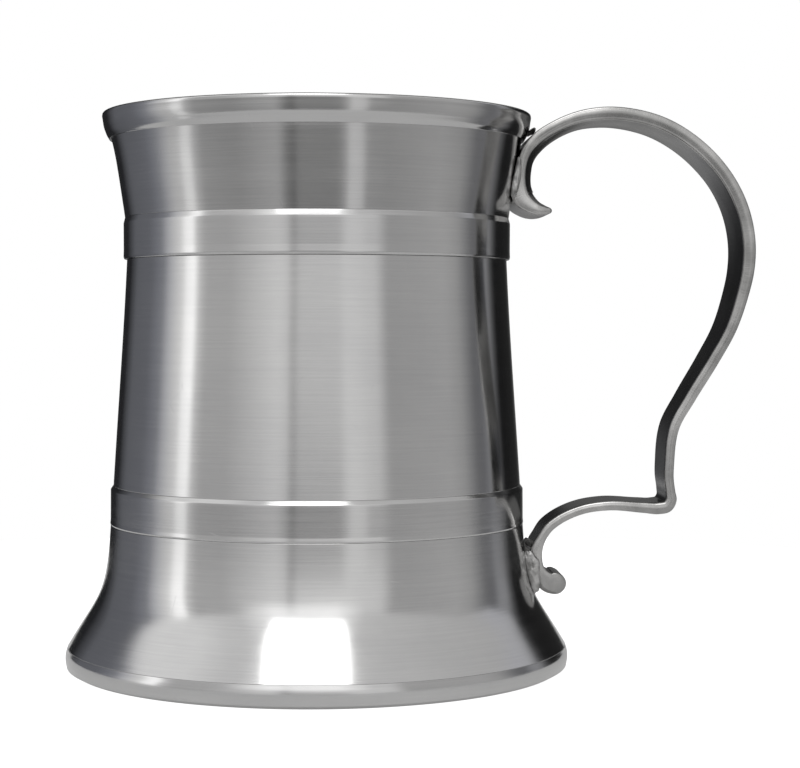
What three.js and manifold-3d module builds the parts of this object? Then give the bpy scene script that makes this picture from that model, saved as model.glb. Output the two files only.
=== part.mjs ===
// One-pint pewter tankard, in millimetres, +Z up, the handle towards +X.
// Spun stages are sleeved together by two bands, a cast foot ring and a cast lip moulding close the
// ends, a base plate is soldered in from below, and a cast strap handle is soldered on.
// The origin is on the table, under the centre of the overall box.
import * as THREE from 'three';
import { mergeVertices } from 'three/addons/utils/BufferGeometryUtils.js';
import { ParametricGeometry } from 'three/addons/geometries/ParametricGeometry.js';
import Module from 'manifold-3d';

// Heights of the stages, from the table up. Together they make the overall height of 120.
const footRingHeight = 4.9;
const skirtHeight = 26.4;
const lowerBandHeight = 8.4;
const drumHeight = 48.9;
const upperBandHeight = 8.95;
const neckHeight = 16.85;
const lipHeight = 5.6;

// Outer radii: the drum's foot sets the girth, and each stage above and below steps on from it.
const drumFootRadius = 44.34;
const drumTaper = 3.06;
const drumHollow = 0.8;
const neckStep = 0.42;
const neckFlare = 2.86;
const neckTurnOut = 0.39;
const skirtStep = 0.61;
const skirtFlare = 9.3;
const footBulge = 0.5;
const footToeIn = 1.15;
const lipOverhang = 1.95;
const lipFootOverhang = 1.05;
const lipHollow = 0.35;
const rimRounding = 0.9;

// Metal thicknesses.
const wall = 1.5;
const bandWall = 0.6;
const collarWall = 1;
const basePlateThickness = 1.8;
const basePlateTop = 16;

// Fits. Parts that meet keep jointGap between them, which the solder film takes up.
const jointGap = 0.3;
const lipSocketDepth = 3;
const footCollarHeight = 2.4;
const basePlateSolderLeg = 2.4;

// Bands: how far each stands proud of the stage above and below it.
const upperBandProudAbove = 0.32;
const upperBandProudBelow = 0.6;
const lowerBandProudAbove = 0.42;
const lowerBandBevelStart = 0.1;
const lowerBandProudBelow = 0.04;
const upperBevelHeight = 1.2;
const lowerBevelHeight = 1.5;

// Handle: how far its spine stands out from the walls, and the strap's widths and corners.
const handleReach = 48.9;
const hookWidth = 18;
const gripWidth = 17.2;
const barWidth = 13.5;
const thumbWidth = 11.8;
const handleCorner = 0.5;

// Solder left beside the joints.
const solderBeadRadius = 0.55;
const solderBeadLength = 8;
const bowDropRadius = 0.35;
const bowDropLength = 1.4;
const crookDropRadius = 0.42;
const crookDropHalfLength = 3.5;

const segments = 48;

// Levels of the joint lines.
const skirtTop = footRingHeight + skirtHeight;
const drumFoot = skirtTop + lowerBandHeight;
const drumTop = drumFoot + drumHeight;
const neckFoot = drumTop + upperBandHeight;
const lipFoot = neckFoot + neckHeight;
const rim = lipFoot + lipHeight;

// Outer radii at the joint lines.
const drumTopRadius = drumFootRadius - drumTaper;
const neckFootRadius = drumTopRadius + neckStep;
const neckTopRadius = neckFootRadius + neckFlare;
const skirtTopRadius = drumFootRadius + skirtStep;
const footCreaseRadius = skirtTopRadius + skirtFlare;
const lipRadius = neckTopRadius + lipOverhang;

const wasm = await Module();
wasm.setup();

// Turns a closed geometry into a solid, without the faces that a pole shrinks to nothing.
function solidOf(geometry) {
  const bare = geometry.clone();
  bare.deleteAttribute('normal');
  bare.deleteAttribute('uv');
  const merged = mergeVertices(bare, 1e-4);
  const index = merged.index.array;
  const kept = [];
  for (let i = 0; i < index.length; i += 3) {
    const [a, b, c] = index.slice(i, i + 3);
    if (a !== b && b !== c && c !== a) kept.push(a, b, c);
  }
  const vertProperties = merged.attributes.position.array;
  return new wasm.Manifold(new wasm.Mesh({ numProp: 3, vertProperties, triVerts: new Uint32Array(kept) }));
}

// Turns a solid back into a geometry that a mesh can show.
function geometryOf(solid) {
  const { vertProperties, triVerts } = solid.getMesh();
  const geometry = new THREE.BufferGeometry();
  geometry.setAttribute('position', new THREE.BufferAttribute(vertProperties, 3));
  geometry.setIndex(new THREE.BufferAttribute(triVerts, 1));
  const faceted = geometry.toNonIndexed();
  faceted.computeVertexNormals();
  return faceted;
}

// A ring turned about the tankard's axis from a closed outline of [radius, height] points, listed
// up the outside and down the inside.
function turned(outline) {
  const profile = [...outline, outline[0]].map(([r, z]) => new THREE.Vector2(r, z));
  return new THREE.LatheGeometry(profile, segments).rotateX(Math.PI / 2);
}

// Heights shared evenly between two levels, both ends included.
function steps(from, to, count) {
  return Array.from({ length: count + 1 }, (_, i) => from + ((to - from) * i) / count);
}

// Radius at a height on an outline of [radius, height] points that climbs steadily.
function radiusAt(outline, z) {
  const i = Math.min(Math.max(outline.findIndex((p) => p[1] >= z), 1), outline.length - 1);
  const [[r0, z0], [r1, z1]] = [outline[i - 1], outline[i]];
  return r0 + ((r1 - r0) * (z - z0)) / (z1 - z0);
}

const inwards = (outline, by) => outline.map(([r, z]) => [r - by, z]).reverse();

// Pewter finishes, from the turned body to the cast handle and the solder.
const pewter = (color, roughness) => new THREE.MeshStandardMaterial({ color, roughness, metalness: 1 });
const turnedPewter = () => pewter(0xb4b4b6, 0.3);
const castPewter = () => pewter(0xa9a8a6, 0.36);
const solderMetal = () => pewter(0xc2c2c0, 0.45);

const tankard = new THREE.Group();
function add(name, geometry, material) {
  const mesh = new THREE.Mesh(geometry, material);
  mesh.name = name;
  tankard.add(mesh);
}

// Foot ring: a cast hoop with a bulging outer face, a flat underside to stand on, and a collar that
// goes up inside the skirt.
const skirtOuter = new THREE.CubicBezierCurve(
  new THREE.Vector2(footCreaseRadius, footRingHeight),
  new THREE.Vector2(footCreaseRadius - skirtFlare * 0.725, footRingHeight + skirtHeight * 0.432),
  new THREE.Vector2(skirtTopRadius + skirtFlare * 0.1, skirtTop - skirtHeight * 0.605),
  new THREE.Vector2(skirtTopRadius, skirtTop),
).getPoints(9).map((p) => [p.x, p.y]);
const drumFootBore = drumFootRadius - wall;
const skirtTopWall = skirtTopRadius - drumFootBore;
const skirtBore = skirtOuter.map(([r, z]) => {
  const up = (z - footRingHeight) / skirtHeight;
  return [r - wall - (skirtTopWall - wall) * up, z];
});
const skirtFoot = footRingHeight + jointGap;
const collarTop = footRingHeight + footCollarHeight;
const footBore = radiusAt(skirtBore, collarTop) - jointGap - collarWall;
add('foot_ring', turned([
  [footBore, 0],
  [footCreaseRadius - footToeIn, 0],
  [footCreaseRadius + footBulge * 0.5, footRingHeight * 0.16],
  [footCreaseRadius + footBulge, footRingHeight * 0.45],
  [footCreaseRadius + footBulge * 0.8, footRingHeight * 0.72],
  [footCreaseRadius, footRingHeight],
  [radiusAt(skirtBore, footRingHeight) - jointGap, footRingHeight],
  [radiusAt(skirtBore, collarTop) - jointGap, collarTop],
  [footBore, collarTop],
]), turnedPewter());

// Foot skirt: flares out from the lower band to the foot ring, and its top is reduced to a seat
// inside the band.
const lowerBandBore = drumFootRadius + lowerBandBevelStart - bandWall;
const lowerSeat = lowerBandBore - jointGap;
const lowerSplit = (skirtTop + drumFoot) / 2;
const skirtFace = skirtOuter.slice(1, -1);
add('foot_skirt', turned([
  [radiusAt(skirtOuter, skirtFoot), skirtFoot],
  ...skirtFace,
  [skirtTopRadius, skirtTop - jointGap],
  [lowerSeat, skirtTop - jointGap],
  [lowerSeat, lowerSplit - jointGap / 2],
  [drumFootBore, lowerSplit - jointGap / 2],
  ...skirtBore.slice(1, -1).reverse(),
  [radiusAt(skirtBore, skirtFoot), skirtFoot],
]), turnedPewter());

// Lower band: a sleeve over the joint of skirt and drum, with a bevelled top edge.
add('lower_band', turned([
  [lowerBandBore, skirtTop],
  [skirtTopRadius + lowerBandProudBelow, skirtTop],
  [drumFootRadius + lowerBandProudAbove, drumFoot - lowerBevelHeight],
  [drumFootRadius + lowerBandBevelStart, drumFoot],
  [lowerBandBore, drumFoot],
]), turnedPewter());

// Drum: the tapering middle stage, slightly hollow in its upper half, with a reduced seat at each end.
const drumOuter = steps(drumFoot + jointGap, drumTop - jointGap, 4).map((z) => {
  const up = (z - drumFoot) / drumHeight;
  return [drumFootRadius - drumTaper * up - drumHollow * up * up * (1 - up), z];
});
const upperBandBore = drumTopRadius + upperBandProudBelow - bandWall;
const upperSeat = upperBandBore - jointGap;
const upperSplit = (drumTop + neckFoot) / 2;
const drumTopBore = drumTopRadius - wall;
add('drum', turned([
  [drumFootBore, lowerSplit + jointGap / 2],
  [lowerSeat, lowerSplit + jointGap / 2],
  [lowerSeat, drumFoot + jointGap],
  ...drumOuter,
  [upperSeat, drumTop - jointGap],
  [upperSeat, upperSplit - jointGap / 2],
  [drumTopBore, upperSplit - jointGap / 2],
  ...inwards(drumOuter, wall).slice(1, -1),
]), turnedPewter());

// Upper band: a sleeve over the joint of drum and neck, bevelled above and square-edged below.
add('upper_band', turned([
  [upperBandBore, drumTop],
  [drumTopRadius + upperBandProudBelow, drumTop],
  [neckFootRadius + upperBandProudAbove, neckFoot - upperBevelHeight],
  [neckFootRadius, neckFoot],
  [upperBandBore, neckFoot],
]), turnedPewter());

// Neck: widens steadily and turns out a little more just under the lip, whose socket takes its top.
const neckOuter = steps(neckFoot + jointGap, lipFoot, 4).map((z) => {
  const up = (z - neckFoot) / neckHeight;
  return [neckFootRadius + (neckFlare - neckTurnOut) * up + neckTurnOut * up ** 6, z];
});
const neckTop = lipFoot + lipSocketDepth;
add('neck', turned([
  [neckFootRadius - wall, upperSplit + jointGap / 2],
  [upperSeat, upperSplit + jointGap / 2],
  [upperSeat, neckFoot + jointGap],
  ...neckOuter,
  [neckTopRadius, neckTop],
  [neckTopRadius - wall, neckTop],
  ...inwards(neckOuter, wall).slice(0, -1),
]), turnedPewter());

// Lip moulding: a cast ring that drops over the neck, with a rounded rim and a face that draws in
// to a sharp lower edge.
const lipFace = [
  [neckTopRadius + lipFootOverhang, lipFoot],
  [lipRadius - lipHollow, lipFoot + lipHeight * 0.36],
  [lipRadius, lipFoot + lipHeight * 0.7],
  [lipRadius - rimRounding / 6, rim - rimRounding * 0.67],
  [lipRadius - rimRounding, rim],
];
const lipBore = neckTopRadius - wall;
const socketTop = neckTop + jointGap;
add('lip_moulding', turned([
  [neckTopRadius + jointGap, lipFoot],
  ...lipFace,
  [lipBore + rimRounding, rim],
  [lipBore, rim - rimRounding],
  [lipBore, socketTop],
  [neckTopRadius + jointGap, socketTop],
]), turnedPewter());

// Base plate: a flat disc let into the skirt from below, closing the drinking space.
const basePlateFoot = basePlateTop - basePlateThickness;
const basePlateRadius = radiusAt(skirtBore, basePlateTop) - jointGap;
add('base_plate', turned([
  [0, basePlateFoot],
  [basePlateRadius, basePlateFoot],
  [basePlateRadius, basePlateTop],
  [0, basePlateTop],
]), turnedPewter());

// Base solder: the fillet run round the corner under the base plate.
const solderTop = basePlateFoot - jointGap;
const solderFoot = solderTop - basePlateSolderLeg;
add('base_solder_ring', turned([
  [radiusAt(skirtBore, solderFoot) - jointGap, solderFoot],
  [radiusAt(skirtBore, solderTop) - jointGap, solderTop],
  [radiusAt(skirtBore, solderTop) - jointGap - basePlateSolderLeg, solderTop],
]), solderMetal());

// Handle spine, from the tip of the upper hook to the thumb at the foot. Each station is
// [out, up, thickness, width, crown], where crown is the swelling of the inner face across the width.
// The hook keeps close to the neck: out is from the neck's wall, and up is from the lip's lower edge.
const hook = [
  [5.8, -15.2, 0.8, hookWidth - 3, 0.5],
  [4.4, -15.3, 1.6, hookWidth - 1, 0.9],
  [3, -15.15, 2.3, hookWidth, 1.2],
  [0.9, -14.1, 3.2, hookWidth, 1.5],
  [-0.7, -12.5, 3.8, hookWidth, 1.8],
  [-1.15, -10.4, 3.2, hookWidth, 1.9],
  [-1.05, -8.3, 2.5, hookWidth, 1.9],
  [-0.7, -5.9, 2.1, hookWidth, 1.9],
  [-0.2, -3.9, 2.1, hookWidth, 1.8],
  [0.75, -1.9, 2.3, hookWidth, 1.7],
  [2.35, 0, 2.4, hookWidth, 1.6],
];
// The arch leaves the lip and comes over to the grip: out is a share of the reach from the neck's wall.
const arch = [
  [0.135, 2.85, 2.4, 18.6, 1.2],
  [0.245, 4.9, 2.6, 19, 0.8],
  [0.348, 5.6, 2.8, 19.2, 0.6],
  [0.485, 5.2, 2.8, 19, 0.4],
  [0.611, 3.5, 2.8, 18.4, 0.3],
  [0.738, 0, 2.8, 17.8, 0.2],
  [0.834, -4.1, 2.8, 17.4, 0.15],
  [0.895, -7.7, 2.75, gripWidth, 0.1],
  [0.959, -13.5, 2.75, gripWidth, 0.1],
];
// The grip sweeps down in an S: up is replaced by a share of the way from the arch to the bar.
const grip = [
  [1, 0.17, 2.8, gripWidth, 0.1],
  [0.994, 0.26, 2.75, gripWidth, 0.1],
  [0.97, 0.353, 2.6, gripWidth, 0.1],
  [0.921, 0.48, 2.4, 17, 0.1],
  [0.845, 0.602, 2.4, 16, 0.1],
  [0.746, 0.745, 2.35, 14.6, 0.1],
  [0.677, 0.855, 2.2, 14, 0.05],
];
// The bar kicks back towards the skirt: out is a share of the reach from the skirt's wall, and up is
// from the skirt's top.
const bar = [
  [0.646, 12.9, 2.1, 13.8, 0],
  [0.645, 9.9, 2.1, barWidth, 0],
  [0.653, 6.8, 2.1, barWidth, 0],
  [0.656, 5.1, 2.4, barWidth, 0],
  [0.64, 3.75, 2.6, barWidth, 0],
  [0.601, 3.3, 2.6, barWidth, 0],
  [0.538, 3.45, 2.4, barWidth, 0],
  [0.374, 3.9, 2.1, barWidth, 0],
];
// The bow and the thumb lie against the skirt: out is from the skirt's wall.
const thumb = [
  [12.9, 3.1, 2, 13, 0],
  [10.1, 2.1, 2, 12.8, 0],
  [7.4, 0.65, 2, 12.6, 0],
  [5.3, -1.05, 2, 12.4, 0],
  [3.85, -3.25, 2, 12.2, 0],
  [2.9, -5.3, 2.5, 12, 0],
  [2.55, -7.5, 2.9, thumbWidth, 0],
  [2.85, -9.8, 3.1, 11.6, 0],
  [4, -11.7, 3.3, 11.4, 0],
  [5.4, -12.95, 4.3, 11.2, 0],
  [7.1, -13.2, 4.7, 11, 0],
  [8.35, -13.2, 3.7, 10.9, 0],
  [9.15, -13.2, 1.5, 10.6, 0],
];
const archEnd = lipFoot + arch.at(-1)[1];
const barStart = skirtTop + bar[0][1];
function placed(list, wallRadius, unit, level) {
  return list.map(([out, up, ...section]) => [wallRadius + out * unit, level(up), ...section]);
}
const fromLip = (up) => lipFoot + up;
const fromSkirt = (up) => skirtTop + up;
const stations = [
  ...placed(hook, neckTopRadius, 1, fromLip),
  ...placed(arch, neckTopRadius, handleReach, fromLip),
  ...placed(grip, neckTopRadius, handleReach, (down) => THREE.MathUtils.lerp(archEnd, barStart, down)),
  ...placed(bar, skirtTopRadius, handleReach, fromSkirt),
  ...placed(thumb, skirtTopRadius, 1, fromSkirt),
];
const along = (pick) => new THREE.CatmullRomCurve3(stations.map(pick), false, 'catmullrom', 0.5);
const spine = along(([x, z]) => new THREE.Vector3(x, 0, z));
const sections = along(([, , thickness, width, crown]) => new THREE.Vector3(thickness, width, crown));

// The strap's section at a station, as [across, out] points round the loop: flat back, small bevels
// at the four corners, and an inner face that swells by crown at its middle.
const crownSteps = 4;
function strapSection({ x: thickness, y: width, z: crown }) {
  const half = width / 2;
  const back = thickness / 2;
  const corner = Math.min(handleCorner, back * 0.6);
  const face = steps(corner - half, half - corner, crownSteps);
  return [
    [half, corner - back],
    [half, back - corner],
    [half - corner, back],
    [corner - half, back],
    [-half, back - corner],
    [-half, corner - back],
    ...face.map((across) => [across, -back - crown * (1 - (across / (half - corner)) ** 2)]),
  ];
}

// The strap as a surface: u goes round the section and v along the spine, and each end shrinks to a
// point.
const around = crownSteps + 7;
const spineSteps = 78;
function strap(u, v, target) {
  const centre = spine.getPoint(v);
  const out = spine.getTangent(v).cross(new THREE.Vector3(0, 1, 0));
  const section = strapSection(sections.getPoint(v));
  const [across, outwards] = section[Math.round(u * around) % around];
  const closed = v === 0 || v === 1 ? 0 : 1;
  target.copy(centre).addScaledVector(out, outwards * closed);
  target.y = across * closed;
}
const strapSolid = solidOf(new ParametricGeometry(strap, around, spineSteps));

// The body with its joint clearance, which the handle's back is filed to fit.
const lipUnderside = lipFoot - jointGap;
const bodyFace = [
  [footCreaseRadius, footRingHeight],
  ...skirtFace,
  [skirtTopRadius + lowerBandProudBelow, skirtTop],
  [drumFootRadius + lowerBandProudAbove, drumFoot],
  [drumTopRadius + upperBandProudBelow, drumTop],
  [neckFootRadius + upperBandProudAbove, neckFoot],
  ...neckOuter.slice(1, -1),
  [radiusAt(neckOuter, lipUnderside), lipUnderside],
  [neckTopRadius + lipFootOverhang, lipUnderside],
  ...lipFace.slice(1, -2),
  [lipRadius, rim],
];
const bodySolid = solidOf(turned([
  [0, footRingHeight],
  ...bodyFace.map(([r, z]) => [r + jointGap, z]),
  [0, rim],
]));
add('handle', geometryOf(strapSolid.subtract(bodySolid)), castPewter());

// Solder beads: long drops that lie against the body at a given height and distance from the
// handle's middle plane.
function bead(level, radius, length, offset) {
  const reach = radiusAt(bodyFace, level) + jointGap + radius;
  const above = radiusAt(bodyFace, level + length / 2);
  const below = radiusAt(bodyFace, level - length / 2);
  const lean = Math.atan2(above - below, length);
  return new THREE.SphereGeometry(1, 12, 8)
    .rotateX(Math.PI / 2)
    .scale(radius, radius, length / 2)
    .rotateY(lean)
    .translate(Math.sqrt(reach ** 2 - offset ** 2), offset, level);
}
const hookLevel = lipFoot - 8.4;
const thumbLevel = skirtTop - 10.2;
const bowLevel = skirtTop - 4.6;
const crookLevel = lipFoot + 3;
for (const [side, sign] of [['left', -1], ['right', 1]]) {
  const beside = (width) => sign * (width / 2 + jointGap + solderBeadRadius);
  const run = (level, width) => bead(level, solderBeadRadius, solderBeadLength, beside(width));
  add(`neck_solder_${side}`, run(hookLevel, hookWidth), solderMetal());
  add(`skirt_solder_${side}`, run(thumbLevel, thumbWidth), solderMetal());
}
add('skirt_solder_drop', bead(bowLevel, bowDropRadius, bowDropLength, 0), solderMetal());

// Lip solder: the drop in the crook between the lip moulding and the back of the arch.
add('lip_solder_drop', new THREE.SphereGeometry(1, 12, 8)
  .scale(crookDropRadius, crookDropHalfLength, crookDropRadius)
  .translate(lipRadius + jointGap + crookDropRadius, 0, crookLevel), solderMetal());

// The frame: the table at zero height, with the middle of the overall box over the origin.
const box = new THREE.Box3().setFromObject(tankard);
tankard.position.x = -(box.min.x + box.max.x) / 2;

export default tankard;
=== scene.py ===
# A one-pint pewter tankard, built up from the foot: turned stages sleeved together under two bands,
# a cast foot ring and lip, a floor let in from below, and a cast strap handle soldered on.
# Everything is in metres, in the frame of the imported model, with +Z up and the handle towards +X.
import math

import bpy
import numpy as np
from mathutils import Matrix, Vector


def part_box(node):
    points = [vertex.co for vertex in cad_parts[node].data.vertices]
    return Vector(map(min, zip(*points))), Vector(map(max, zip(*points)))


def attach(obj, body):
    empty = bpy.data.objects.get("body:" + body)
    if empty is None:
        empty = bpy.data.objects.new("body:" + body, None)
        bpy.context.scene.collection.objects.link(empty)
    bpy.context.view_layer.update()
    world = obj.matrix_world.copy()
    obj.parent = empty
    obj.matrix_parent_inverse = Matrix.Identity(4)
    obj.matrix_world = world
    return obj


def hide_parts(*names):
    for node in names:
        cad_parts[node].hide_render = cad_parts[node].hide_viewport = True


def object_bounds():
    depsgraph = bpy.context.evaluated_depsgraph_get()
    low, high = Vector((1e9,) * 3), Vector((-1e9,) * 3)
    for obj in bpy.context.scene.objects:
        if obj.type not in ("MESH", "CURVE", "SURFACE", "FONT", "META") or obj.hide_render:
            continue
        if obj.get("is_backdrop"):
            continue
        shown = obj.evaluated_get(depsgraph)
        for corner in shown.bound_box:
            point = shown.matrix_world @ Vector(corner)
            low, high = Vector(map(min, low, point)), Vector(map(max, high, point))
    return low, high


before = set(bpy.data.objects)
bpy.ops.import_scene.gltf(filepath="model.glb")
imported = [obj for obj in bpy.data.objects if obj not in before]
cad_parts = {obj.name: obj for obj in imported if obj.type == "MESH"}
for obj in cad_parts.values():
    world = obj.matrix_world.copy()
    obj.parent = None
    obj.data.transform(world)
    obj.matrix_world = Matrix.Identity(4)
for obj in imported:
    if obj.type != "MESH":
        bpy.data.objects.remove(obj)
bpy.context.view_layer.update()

MM = 0.001

# Camera: a long lens a hand's breadth above the table, tipped slightly down and turned a little
# towards the handle, so that body and handle fill the view.
LENS = 91.2
CAMERA_DISTANCE = 0.4443
CAMERA_HEIGHT = 0.0754
TIP_DOWN, ROLL, TURN = 1.79, -0.06, -2.33
drum_low, drum_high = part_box("drum")
axis_x = (drum_low[0] + drum_high[0]) / 2
camera = bpy.data.objects.new("camera", bpy.data.cameras.new("camera"))
camera.data.lens = LENS
camera.data.sensor_width = 36
camera.data.clip_start = 0.01
camera.location = (axis_x, -CAMERA_DISTANCE, CAMERA_HEIGHT)
camera.rotation_euler = (math.radians(90 - TIP_DOWN), math.radians(ROLL), math.radians(TURN))
bpy.context.collection.objects.link(camera)
bpy.context.scene.camera = camera
bpy.context.scene.view_settings.view_transform = "Standard"


# Studio: a round pale table under soft panels of light, with a softbox above the front. The
# panels are bright and dark uprights all round, which the turned metal draws out into stripes.
def node(tree, kind, **settings):
    """A shader node. Each setting is one of the node's own properties or else names an input."""
    made = tree.nodes.new(kind)
    for key, value in settings.items():
        if hasattr(made, key):
            setattr(made, key, value)
        else:
            made.inputs[key].default_value = value
    return made


def wire(tree, *joins):
    """Links each pair (output, input) of sockets."""
    for output, socket in joins:
        tree.links.new(output, socket)


def maths(tree, operation, a, b=None):
    """A Math node on sockets or numbers."""
    made = node(tree, "ShaderNodeMath", operation=operation)
    for socket, value in zip(made.inputs, (a, b)):
        if isinstance(value, (int, float)):
            socket.default_value = value
        elif value is not None:
            tree.links.new(value, socket)
    return made.outputs[0]


def ramp(tree, source, stops):
    """A colour ramp fed by source. Each stop is (place, grey level or colour)."""
    made = tree.nodes.new("ShaderNodeValToRGB")
    elements = made.color_ramp.elements
    while len(elements) < len(stops):
        elements.new(0.5)
    for element, (place, level) in zip(elements, stops):
        element.position = place
        element.color = (*(level if isinstance(level, tuple) else (level,) * 3), 1)
    tree.links.new(source, made.inputs[0])
    return made.outputs[0]


world = bpy.data.worlds.new("studio")
bpy.context.scene.world = world
world.use_nodes = True
tree = world.node_tree
tree.nodes.clear()
direction = node(tree, "ShaderNodeTexCoord")
split = node(tree, "ShaderNodeSeparateXYZ")
wire(tree, (direction.outputs["Generated"], split.inputs[0]))
forward = maths(tree, "MULTIPLY", split.outputs["Y"], -1)
bearing = maths(tree, "ARCTAN2", split.outputs["X"], forward)
turn = maths(tree, "ADD", maths(tree, "DIVIDE", bearing, 2 * math.pi), 0.5)


def by_bearing(stops):
    """Brightness round the room: each stop is (degrees to the right of the front, light)."""
    return ramp(tree, turn, [((degrees + 180) / 360, light) for degrees, light in stops])


# The panels at eye level, the light that comes up from below them, and the ceiling.
uprights = by_bearing(
    [
        (-150, 0.02), (-140, 0.1), (-135, 0.16), (-116, 0.18), (-103, 0.3), (-97, 0.6),
        (-86, 0.98), (-83, 1.4), (-77, 1.6), (-74, 0.78), (-68, 0.54), (-52, 0.55), (-23, 0.87),
        (-17, 0.82), (-15.5, 0.6), (-12.5, 0.62), (-11, 0.82), (16, 0.86), (34, 0.78), (41, 0.45),
        (80, 0.5), (90, 0.43), (102, 0.19), (108, 0.17), (114, 0.33), (120, 0.32), (126, 0.09),
        (131, 0.012), (158, 0.02), (168, 0.1),
    ]
)
below = by_bearing(
    [
        (-174, 0.26), (-166, 0.02), (-150, 0.02), (-140, 0.12), (-112, 0.19), (-102, 0.3),
        (-92, 0.55), (-84, 0.62), (-82, 0.9), (-77, 0.95), (-74, 0.56), (-68, 0.37), (-46, 0.33),
        (-22, 0.46), (-16.5, 0.2), (-13, 0.22), (-11, 0.42), (4, 0.42), (16.5, 0.42), (18, 0.72),
        (25, 0.68), (28.5, 0.36), (41, 0.35), (74, 0.43), (90, 0.36), (101, 0.18),
        (114, 0.22), (127, 0.1), (131, 0.012), (160, 0.03), (170, 0.26),
    ]
)
ceiling = by_bearing(
    [
        (-160, 0.1), (-140, 0.16), (-128, 0.24), (-121, 0.32), (-114, 0.6), (-107, 0.95),
        (-74, 0.95), (-56, 0.8), (-34, 0.76), (25, 0.72), (46, 0.66), (80, 0.6), (100, 0.57),
        (120, 0.55), (124.5, 0.4), (127.5, 0.05), (133, 0.02), (144, 0.2), (160, 0.2),
    ]
)
# The light is a little bluer at the sides.
tint = ramp(
    tree,
    turn,
    [
        (0, (1, 1, 1)),
        (0.08, (0.94, 0.97, 1.07)),
        (0.2, (0.93, 0.96, 1.08)),
        (0.25, (1, 1, 1)),
        (0.75, (1, 1, 1)),
        (0.8, (0.97, 0.98, 1.04)),
        (0.92, (1, 1, 1)),
    ],
)


WHITE = (1, 1, 1, 1)


def blended(first, second, share):
    """Two colours mixed by a share. The second is a socket or a plain colour."""
    made = node(tree, "ShaderNodeMixRGB")
    wire(tree, (share, made.inputs[0]), (first, made.inputs[1]))
    if isinstance(second, tuple):
        made.inputs[2].default_value = second
    else:
        wire(tree, (second, made.inputs[2]))
    return made.outputs[0]


def rising(low, high, height=split.outputs["Z"]):
    """A share that goes from 0 to 1 as the direction's height goes from low to high."""
    made = node(tree, "ShaderNodeMapRange", interpolation_type="SMOOTHSTEP")
    made.inputs["From Min"].default_value = low
    made.inputs["From Max"].default_value = high
    wire(tree, (height, made.inputs["Value"]))
    return made.outputs["Result"]


# The middle of the lower room is dimmed in front, and a soft glow stands over it.
FRONT_DIM = 0.35
front = by_bearing([(-15.5, 0), (-13.5, 1), (12, 1), (16, 0)])
dimmed = maths(tree, "MULTIPLY", maths(tree, "MULTIPLY", front, rising(0.2, -0.04)), FRONT_DIM)
over_front = by_bearing([(-44, 0), (-24, 0.55), (10, 0.55), (26, 0)])
glow = maths(tree, "MULTIPLY", over_front, rising(0.26, 0.46))
# The ceiling light comes down lower on the right, and has no tint.
lower_eaves = maths(tree, "ADD", split.outputs["Z"], by_bearing([(84, 0), (104, 0.16)]))
room = blended(below, uprights, rising(-0.22, 0.12))
room = blended(room, ceiling, rising(0.44, 0.54, lower_eaves))
room = maths(tree, "MULTIPLY", room, maths(tree, "SUBTRACT", 1, dimmed))
room = maths(tree, "ADD", room, glow)
tinted = node(tree, "ShaderNodeVectorMath", operation="MULTIPLY")
wire(tree, (room, tinted.inputs[0]), (blended(tint, WHITE, rising(0.4, 0.54)), tinted.inputs[1]))
# The camera itself sees plain white; only the metal shows the room.
seen = node(tree, "ShaderNodeLightPath").outputs["Is Camera Ray"]
background = node(tree, "ShaderNodeBackground")
output = node(tree, "ShaderNodeOutputWorld")
wire(
    tree,
    (blended(tinted.outputs[0], WHITE, seen), background.inputs[0]),
    (background.outputs[0], output.inputs[0]),
)

softbox = bpy.data.objects.new("softbox_above", bpy.data.lights.new("softbox_above", "AREA"))
softbox.data.shape = "RECTANGLE"
softbox.data.size = 0.7
softbox.data.size_y = 0.6
softbox.data.energy = 2.4
softbox.location = (axis_x - 0.095, -0.75, 0.95)
softbox.rotation_euler = (math.radians(41), 0, 0)
softbox.visible_camera = False
bpy.context.collection.objects.link(softbox)

TABLE_RADIUS = 0.27
TABLE_SIDES = 128
TABLE_LEVEL = -0.00002
rim_angle = np.linspace(0, 2 * np.pi, TABLE_SIDES, endpoint=False)
table = bpy.data.objects.new("table", bpy.data.meshes.new("table"))
table_rim = [
    (axis_x + TABLE_RADIUS * np.cos(angle), TABLE_RADIUS * np.sin(angle), TABLE_LEVEL)
    for angle in rim_angle
]
table.data.from_pydata(table_rim, [], [list(range(TABLE_SIDES))])
bpy.context.collection.objects.link(table)
table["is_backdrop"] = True
paper = bpy.data.materials.new("pale_table")
paper.use_nodes = True
tree = paper.node_tree
tree.nodes.clear()
# The table is as white to the camera as the room behind it, and a softer grey to the metal.
diffuse = node(tree, "ShaderNodeBsdfDiffuse", Color=(0.45, 0.45, 0.45, 1))
shine = node(tree, "ShaderNodeEmission", Color=WHITE)
seen = node(tree, "ShaderNodeLightPath").outputs["Is Camera Ray"]
strength = maths(tree, "ADD", 0.25, maths(tree, "MULTIPLY", seen, 0.75))
output = node(tree, "ShaderNodeOutputMaterial")
both = node(tree, "ShaderNodeAddShader")
wire(
    tree,
    (strength, shine.inputs["Strength"]),
    (shine.outputs[0], both.inputs[0]),
    (diffuse.outputs[0], both.inputs[1]),
    (both.outputs[0], output.inputs[0]),
)
table.data.materials.append(paper)


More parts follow.
